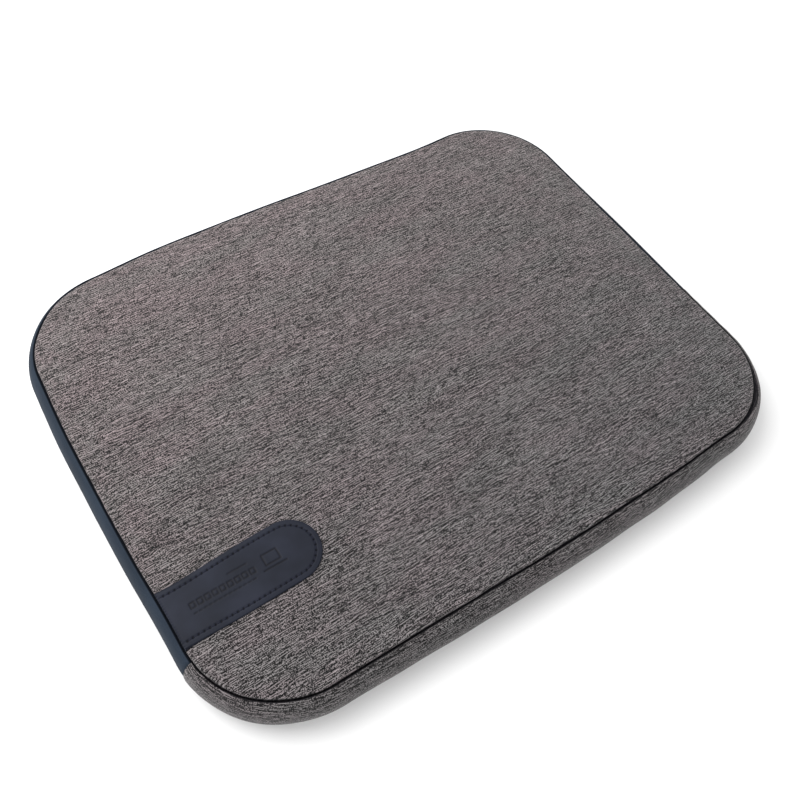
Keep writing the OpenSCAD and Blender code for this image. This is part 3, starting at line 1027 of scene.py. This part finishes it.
def tidy_normals(piece):
    """Merges doubled points, turns all faces outwards and shades only shallow edges smooth."""
    work = bmesh.new()
    work.from_mesh(piece.data)
    bmesh.ops.remove_doubles(work, verts=work.verts, dist=1e-6)
    bmesh.ops.recalc_face_normals(work, faces=work.faces)
    work.to_mesh(piece.data)
    work.free()
    piece.data.set_sharp_from_angle(angle=math.radians(40))
    return piece


# ---- Materials ----

YARN = 0.42


class Nodes:
    """Short calls for building one material's node tree."""

    def __init__(self, name):
        self.material = bpy.data.materials.new(name)
        self.material.use_nodes = True
        self.tree = self.material.node_tree
        self.shader = self.tree.nodes["Principled BSDF"]

    def node(self, kind, **values):
        made = self.tree.nodes.new(kind)
        for key, value in values.items():
            setattr(made, key, value)
        return made

    def link(self, source, target):
        self.tree.links.new(source, target)

    def feed(self, socket, value):
        if hasattr(value, "is_output"):
            self.link(value, socket)
        else:
            socket.default_value = value

    def math(self, operation, a, b=0.0, clamp=False):
        made = self.node("ShaderNodeMath", operation=operation, use_clamp=clamp)
        self.feed(made.inputs[0], a)
        self.feed(made.inputs[1], b)
        return made.outputs[0]

    def plus(self, a, b):
        return self.math("ADD", a, b)

    def minus(self, a, b):
        return self.math("SUBTRACT", a, b)

    def times(self, a, b):
        return self.math("MULTIPLY", a, b)

    def split(self, vector):
        made = self.node("ShaderNodeSeparateXYZ")
        self.link(vector, made.inputs[0])
        return made.outputs

    def attribute(self, name, output="Vector"):
        made = self.node("ShaderNodeAttribute", attribute_name=name)
        return made.outputs[output]

    def scaled(self, vector, scale, offset=(0, 0, 0)):
        made = self.node("ShaderNodeMapping")
        self.feed(made.inputs["Vector"], vector)
        made.inputs["Scale"].default_value = scale
        made.inputs["Location"].default_value = offset
        return made.outputs[0]

    def noise(self, vector, scale=1.0, detail=2.0, rough=0.5):
        made = self.node("ShaderNodeTexNoise")
        self.feed(made.inputs["Vector"], vector)
        made.inputs["Scale"].default_value = scale
        made.inputs["Detail"].default_value = detail
        made.inputs["Roughness"].default_value = rough
        return made.outputs["Fac"]

    def ramp(self, value, stops):
        made = self.node("ShaderNodeValToRGB")
        self.feed(made.inputs["Fac"], value)
        ramp = made.color_ramp
        while len(ramp.elements) < len(stops):
            ramp.elements.new(0.5)
        for element, (at, colour) in zip(ramp.elements, stops):
            element.position = at
            element.color = (*colour, 1) if len(colour) == 3 else colour
        return made.outputs["Color"]

    def mix(self, share, a, b, blend="MIX"):
        made = self.node("ShaderNodeMix", data_type="RGBA", blend_type=blend)
        self.feed(made.inputs["Factor"], share)
        for socket, value in ((made.inputs["A"], a), (made.inputs["B"], b)):
            if isinstance(value, tuple):
                socket.default_value = (*value, 1) if len(value) == 3 else value
            else:
                self.link(value, socket)
        return made.outputs["Result"]

    def bump(self, height, distance, strength):
        made = self.node("ShaderNodeBump")
        made.inputs["Strength"].default_value = strength
        made.inputs["Distance"].default_value = distance * MM
        self.feed(made.inputs["Height"], height)
        return made.outputs["Normal"]

    def finish(self, colour, rough, normal=None, **constants):
        self.feed(self.shader.inputs["Base Color"], colour)
        self.feed(self.shader.inputs["Roughness"], rough)
        if normal is not None:
            self.link(normal, self.shader.inputs["Normal"])
        for key, value in constants.items():
            self.shader.inputs[key.replace("_", " ")].default_value = value
        return self.material


def grey(level):
    return (level, level, level)


def wave_rows(n, vector, axis, period):
    """Rows of rounded ridges across one axis of the weave coordinates."""
    return n.math("SINE", n.times(n.split(vector)[axis], math.tau / period))


def heather_fabric(name, level, seed, contrast=1.0, painted_light_falloff=False):
    """Woven melange: dyed and undyed fibres run along each weft yarn, over a plain weave."""
    n = Nodes(name)
    weave = n.attribute("weave")
    x, y = n.split(weave)[:2]
    wander = n.noise(n.scaled(weave, (0.02, 0.06, 1)), 1.0, 1.0, 0.5)
    y_bent = n.plus(y, n.times(wander, 2.5))
    weft = n.math("FLOOR", n.math("DIVIDE", y_bent, YARN))
    pair = n.math("FLOOR", n.math("DIVIDE", y_bent, 2 * YARN))
    warp = n.math("FLOOR", n.math("DIVIDE", x, YARN))

    def along(yarn, yarn_step, run, run_scale):
        made = n.node("ShaderNodeCombineXYZ")
        n.link(n.times(run, run_scale), made.inputs[0])
        n.link(n.times(yarn, yarn_step), made.inputs[1])
        made.inputs[2].default_value = seed * 3.1
        return n.noise(made.outputs[0], 1.0, 1.0, 0.6)

    own, neighbour = along(weft, 3.7, x, 0.18), along(n.plus(weft, 1.0), 3.7, x, 0.18)
    streak = n.plus(n.minus(own, n.times(neighbour, 0.6)), 0.3)
    parts = [
        (streak, 0.38),
        (along(pair, 6.1, x, 0.09), 0.05),
        (along(weft, 5.3, x, 1.8), 0.38),
        (along(warp, 4.1, y, 1.9), 0.19),
    ]
    cloud = n.noise(n.scaled(weave, (0.03, 0.045, 1), (seed * 2.2, 0, 0)), 1.0, 2.0, 0.5)
    tone = n.times(n.minus(cloud, 0.5), 0.03)
    for part, share in parts:
        tone = n.plus(tone, n.times(part, share))
    spread = 0.037 / contrast
    shades = [(-1.0, 0.04), (-0.5, 0.28), (0.0, 0.92), (0.5, 2.2), (1.0, 4.4)]
    stops = [(0.5 + at * spread, grey(level * shade)) for at, shade in shades]
    colour = n.ramp(tone, stops)
    slubs = [(0.30, grey(0.8)), (0.36, grey(0.56)), (0.60, grey(0.56)), (0.68, grey(0.26))]
    long_line = n.ramp(along(weft, 9.1, x, 0.06), slubs)
    colour = n.mix(1.0, colour, long_line, "MULTIPLY")
    hue = n.noise(n.scaled(weave, (0.018, 0.06, 1), (0, seed * 5.5, 0)), 1.0, 2.0, 0.6)
    tint = n.ramp(hue, [(0.36, (1.05, 0.965, 0.955)), (0.64, (1.12, 0.95, 0.965))])
    colour = n.mix(1.0, colour, tint, "MULTIPLY")
    if painted_light_falloff:
        # Painted light: the cloth is drawn a little lighter and warmer towards the far left corner, nearer
        # the window light, and a little darker and cooler towards the near side
        across = n.minus(n.times(y, 0.0027), n.times(x, 0.0008))
        tints = [(0.1, (0.855, 0.89, 0.91)), (0.5, (0.97, 0.965, 0.975)), (0.9, (1.14, 1.09, 1.095))]
        painted_light = n.ramp(n.plus(across, 0.5), tints)
        colour = n.mix(1.0, colour, painted_light, "MULTIPLY")
    else:
        colour = n.mix(1.0, colour, (0.92, 0.955, 0.975), "MULTIPLY")
    # Painted shade: near black in the seam groove, where the sheen and specular are also taken away
    colour = n.mix(n.times(n.attribute("painted_shade", "Fac"), 0.9), colour, (0.009, 0.009, 0.011))
    over = n.times(wave_rows(n, weave, 0, 2 * YARN), wave_rows(n, weave, 1, 2 * YARN))
    height = n.plus(n.times(tone, 1.6), n.times(over, 0.2))
    normal = n.bump(height, 0.3, 0.7)
    clear = n.minus(1.0, n.attribute("painted_shade", "Fac"))
    n.feed(n.shader.inputs["Sheen Weight"], n.times(clear, 0.18))
    n.feed(n.shader.inputs["Specular IOR Level"], n.times(clear, 0.2))
    return n.finish(colour, 0.93, normal, Sheen_Roughness=0.5)


def tape_fabric(name):
    """Zip tape: fine ribs along its length, and a stitch row beside the slit."""
    n = Nodes(name)
    weave = n.attribute("weave")
    ribs = wave_rows(n, weave, 1, 0.62)
    twill = n.noise(n.scaled(weave, (1.4, 1.4, 1)), 1.0, 1.0, 0.5)
    tone = n.noise(n.scaled(weave, (0.03, 0.12, 1)), 1.0, 2.0, 0.5)
    off_row = n.math("ABSOLUTE", n.minus(n.split(weave)[1], 3.3))
    row = n.math("SUBTRACT", 1.0, n.math("DIVIDE", off_row, 0.3), clamp=True)
    dash = n.math("GREATER_THAN", wave_rows(n, weave, 0, 2.4), -0.35)
    thread = n.times(row, dash)
    base = n.ramp(n.plus(n.times(tone, 0.7), n.times(twill, 0.3)),
                  [(0.3, (0.010, 0.016, 0.026)), (0.7, (0.018, 0.028, 0.044))])
    colour = n.mix(thread, base, (0.014, 0.022, 0.033))
    # Painted shade in the groove beside the seam
    colour = n.mix(n.times(n.attribute("painted_shade", "Fac"), 0.75), colour, (0.004, 0.005, 0.009))
    height = n.plus(n.times(ribs, 0.3), n.times(twill, 0.5))
    height = n.plus(height, n.times(thread, 1.6))
    normal = n.bump(height, 0.12, 0.7)
    return n.finish(colour, 0.75, normal, Specular_IOR_Level=0.16)


def soft_lining(name, colour_low, colour_high):
    """Brushed lining with a short nap."""
    n = Nodes(name)
    weave = n.attribute("weave")
    nap = n.noise(n.scaled(weave, (1.1, 1.1, 1.1)), 1.0, 3.0, 0.65)
    drift = n.noise(n.scaled(weave, (0.03, 0.03, 0.03)), 1.0, 2.0, 0.5)
    colour = n.ramp(n.plus(n.times(nap, 0.5), n.times(drift, 0.5)),
                    [(0.3, colour_low), (0.7, colour_high)])
    normal = n.bump(nap, 0.3, 0.6)
    return n.finish(colour, 0.95, normal, Sheen_Weight=0.5, Sheen_Roughness=0.6, Specular_IOR_Level=0.2)


def binding_tape(name):
    """Ribbed grosgrain binding with a line of stitches."""
    n = Nodes(name)
    weave = n.attribute("weave")
    ribs = wave_rows(n, weave, 0, 0.8)
    tone = n.noise(n.scaled(weave, (0.2, 0.9, 1)), 1.0, 2.0, 0.5)
    colour = n.ramp(tone, [(0.3, (0.010, 0.011, 0.014)), (0.7, (0.022, 0.024, 0.031))])
    normal = n.bump(n.plus(n.times(ribs, 0.5), tone), 0.15, 0.7)
    return n.finish(colour, 0.7, normal, Sheen_Weight=0.2, Sheen_Roughness=0.4)


def patch_leather(name):
    """Navy coated leather with a fine pebble grain, and painted shade where it is pressed or pierced."""
    n = Nodes(name)
    weave = n.attribute("weave")
    cells = n.node("ShaderNodeTexVoronoi", feature="SMOOTH_F1")
    n.link(weave, cells.inputs["Vector"])
    cells.inputs["Scale"].default_value = 1.9
    grain = n.noise(weave, 2.6, 3.0, 0.6)
    tone = n.noise(weave, 0.06, 2.0, 0.5)
    painted_shade = n.attribute("painted_shade", "Fac")
    base = n.ramp(n.plus(n.times(tone, 0.8), n.times(grain, 0.2)),
                  [(0.3, (0.003, 0.0045, 0.010)), (0.7, (0.011, 0.0135, 0.0245))])
    # Painted shade in the needle holes and the pressed lines
    colour = n.mix(painted_shade, base, (0.002, 0.002, 0.004))
    height = n.plus(n.times(cells.outputs["Distance"], 0.7), n.times(grain, 0.5))
    normal = n.bump(height, 0.07, 0.55)
    rough = n.plus(0.5, n.times(grain, 0.16))
    return n.finish(colour, rough, normal, Specular_IOR_Level=0.17)


def sewing_thread(name):
    n = Nodes(name)
    weave = n.attribute("weave")
    twist = n.noise(n.scaled(weave, (3.0, 3.0, 3.0)), 1.0, 1.0, 0.5)
    colour = n.ramp(twist, [(0.3, (0.003, 0.004, 0.010)), (0.7, (0.007, 0.008, 0.020))])
    return n.finish(colour, 0.7, n.bump(twist, 0.1, 0.6), Specular_IOR_Level=0.2)


def coil_plastic(name):
    n = Nodes(name)
    weave = n.attribute("weave")
    tone = n.noise(n.scaled(weave, (0.5, 0.5, 0.5)), 1.0, 1.0, 0.5)
    colour = n.ramp(tone, [(0.3, (0.018, 0.026, 0.040)), (0.7, (0.032, 0.046, 0.066))])
    return n.finish(colour, 0.38, n.bump(tone, 0.05, 0.3), Specular_IOR_Level=0.5)


def zip_metal(name):
    """Dark plated zinc, a little brighter and smoother where it is handled."""
    n = Nodes(name)
    weave = n.node("ShaderNodeTexCoord").outputs["Object"]
    fine = n.noise(weave, 1400.0, 3.0, 0.6)
    worn = n.noise(weave, 160.0, 2.0, 0.5)
    colour = n.ramp(worn, [(0.35, (0.10, 0.105, 0.115)), (0.7, (0.20, 0.205, 0.215))])
    rough = n.plus(0.26, n.times(fine, 0.16))
    return n.finish(colour, rough, n.bump(fine, 0.02, 0.4), Metallic=1.0)


def floor_paint(name):
    n = Nodes(name)
    coords = n.node("ShaderNodeTexCoord").outputs["Object"]
    tone = n.noise(coords, 3.0, 2.0, 0.5)
    colour = n.ramp(tone, [(0.3, (0.86, 0.86, 0.86)), (0.7, (0.9, 0.9, 0.9))])
    return n.finish(colour, 0.9, None, Specular_IOR_Level=0.1)


# ---- Assembly ----

# The cover's cloth carries painted light, lighter towards the far left corner
COVER_CLOTH = heather_fabric("heather_cover", 0.082, 1, painted_light_falloff=True)
SPINE_CLOTH = heather_fabric("heather_spine", 0.063, 2, 0.85)
TAPE_CLOTH = tape_fabric("navy_zip_tape")
LINING_CLOTH = soft_lining("charcoal_lining", (0.018, 0.019, 0.024), (0.040, 0.042, 0.052))
BINDING = binding_tape("black_binding")
LEATHER = patch_leather("navy_leather")
THREAD = sewing_thread("navy_thread")
COIL = coil_plastic("navy_coil")
METAL = zip_metal("dark_plated_metal")


def turn_outward(piece):
    """Turns the faces of a closed piece outward."""
    polygons = piece.data.polygons
    centres, normals = np.empty(3 * len(polygons)), np.empty(3 * len(polygons))
    areas = np.empty(len(polygons))
    polygons.foreach_get("center", centres)
    polygons.foreach_get("normal", normals)
    polygons.foreach_get("area", areas)
    if (centres * normals).reshape(-1, 3).sum(1) @ areas < 0:
        piece.data.flip_normals()


def dress(piece, material, nodes):
    """Turns a piece's faces outward, gives it its material and hides the CAD nodes that it stands for."""
    turn_outward(piece)
    piece.data.materials.clear()
    piece.data.materials.append(material)
    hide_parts(*nodes)
    return piece


def bends(piece):
    """Bakes a piece's placement into its points, leaving it attached to no body."""
    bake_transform(piece)
    return piece


front_cover = dress(cover("front_cover", 11, False), COVER_CLOTH,
                    ["pocket_cover", "flap_cover", "pocket_foam", "flap_foam"])
bends(front_cover)
back_cover = dress(cover("back_cover_padded", 31, True), COVER_CLOTH,
                   ["back_cover", "back_foam"])
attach(back_cover, "shell")
spine = dress(spine_panel(), SPINE_CLOTH, ["spine_gusset", "spine_foam"])
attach(spine, "shell")

front_lining = dress(lining("front_lining_sheet", 41, False), LINING_CLOTH,
                     ["pocket_lining", "flap_lining"])
bends(front_lining)
back_lining = dress(lining("back_lining_sheet", 43, True), LINING_CLOTH, ["back_lining"])
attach(back_lining, "shell")
spine_inside = dress(spine_lining_sheet(), LINING_CLOTH, ["spine_lining"])
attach(spine_inside, "shell")

for make, kind, material in ((zip_tape, "tape", TAPE_CLOTH), (zip_coil, "coil", COIL)):
    lower = make("lower_" + kind, S_ZIP_RIGHT, S_ZIP_LEFT, False)
    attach(dress(lower, material, ["lower_zip_" + kind]), "shell")
    upper = make("upper_" + kind, S_ZIP_RIGHT, S_ZIP_LEFT, True)
    bends(dress(upper, material, ["upper_zip_" + kind, "pocket_zip_" + kind]))

front_binding = dress(seam_binding("front_binding", True), BINDING,
                      ["pocket_seam_binding", "flap_seam_binding"])
bends(front_binding)
back_binding = dress(seam_binding("back_binding", False), BINDING, ["back_seam_binding"])
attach(back_binding, "shell")
for side, s_end in (("left", S_ZIP_LEFT), ("right", S_ZIP_RIGHT)):
    node = "end_binding_" + side
    end = dress(end_binding(side + "_end_binding", node, s_end), BINDING, [node])
    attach(end, "shell")

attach(dress(label_patch(), LEATHER, ["label_patch"]), "shell")
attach(dress(patch_thread(), THREAD, ["patch_stitching"]), "shell")

for which, tail in (("far", 1), ("near", -1)):
    slider_node, pull_node = "slider_" + which, "pull_" + which
    low, high = box_mm(slider_node)
    body = zip_slider(slider_node + "_body", slider_node, low[1] if tail > 0 else high[1], tail)
    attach(dress(body, METAL, [slider_node]), slider_node)
    tab = zip_pull(pull_node + "_tab", pull_node, (low[1] + high[1]) / 2, tail)
    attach(dress(tab, METAL, [pull_node]), pull_node)


# ---- Stage ----


def add_floor():
    size = 3000.0
    verts = [(-size, -size, 0), (size, -size, 0), (size, size, 0), (-size, size, 0)]
    floor = make_mesh("floor", verts, [(0, 1, 2, 3)], flat=True)
    floor.location.z = -0.05 * MM
    floor.data.materials.append(floor_paint("pale_floor"))


def direction(azimuth, elevation):
    """The unit vector from the sleeve towards a place seen at an azimuth and elevation in degrees."""
    a, e = math.radians(azimuth), math.radians(elevation)
    return Vector((math.sin(a) * math.cos(e), -math.cos(a) * math.cos(e), math.sin(e)))


def add_light(name, azimuth, elevation, distance, size, power):
    """A soft square light that looks at the sleeve."""
    lamp = bpy.data.lights.new(name, "AREA")
    lamp.size = size
    lamp.energy = power
    light = bpy.data.objects.new(name, lamp)
    bpy.context.scene.collection.objects.link(light)
    back = direction(azimuth, elevation)
    light.location = back * distance
    light.rotation_mode = "QUATERNION"
    light.rotation_quaternion = (-back).to_track_quat("-Z", "Y")


def add_world():
    world = bpy.data.worlds.new("studio")
    world.use_nodes = True
    background = world.node_tree.nodes["Background"]
    background.inputs["Color"].default_value = (1, 1, 1, 1)
    background.inputs["Strength"].default_value = 0.9
    bpy.context.scene.world = world


def add_camera():
    """The camera looks down on the patch's corner, from in front of the spine's left end."""
    roll = math.radians(8.31)
    distance = 0.492
    target = Vector((-0.0179, -0.0253, TOP_SEAM * MM))
    back = direction(-40.54, 57.26)
    right = Vector((0, 0, 1)).cross(back).normalized()
    up = back.cross(right)
    turned_right = math.cos(roll) * right + math.sin(roll) * up
    turned_up = -math.sin(roll) * right + math.cos(roll) * up
    data = bpy.data.cameras.new("camera")
    data.lens = 39.68
    data.sensor_width = 36.0
    data.clip_start = 0.01
    camera = bpy.data.objects.new("camera", data)
    bpy.context.scene.collection.objects.link(camera)
    turn = Matrix((turned_right, turned_up, back)).transposed().to_4x4()
    camera.matrix_world = Matrix.Translation(target + back * distance) @ turn
    bpy.context.scene.camera = camera


add_floor()
add_world()
add_light("window", 222, 52, 0.82, 0.8, 7.5)
add_light("fill", -50, 45, 1.6, 1.4, 4)
add_camera()
bpy.context.scene.view_settings.view_transform = "Standard"
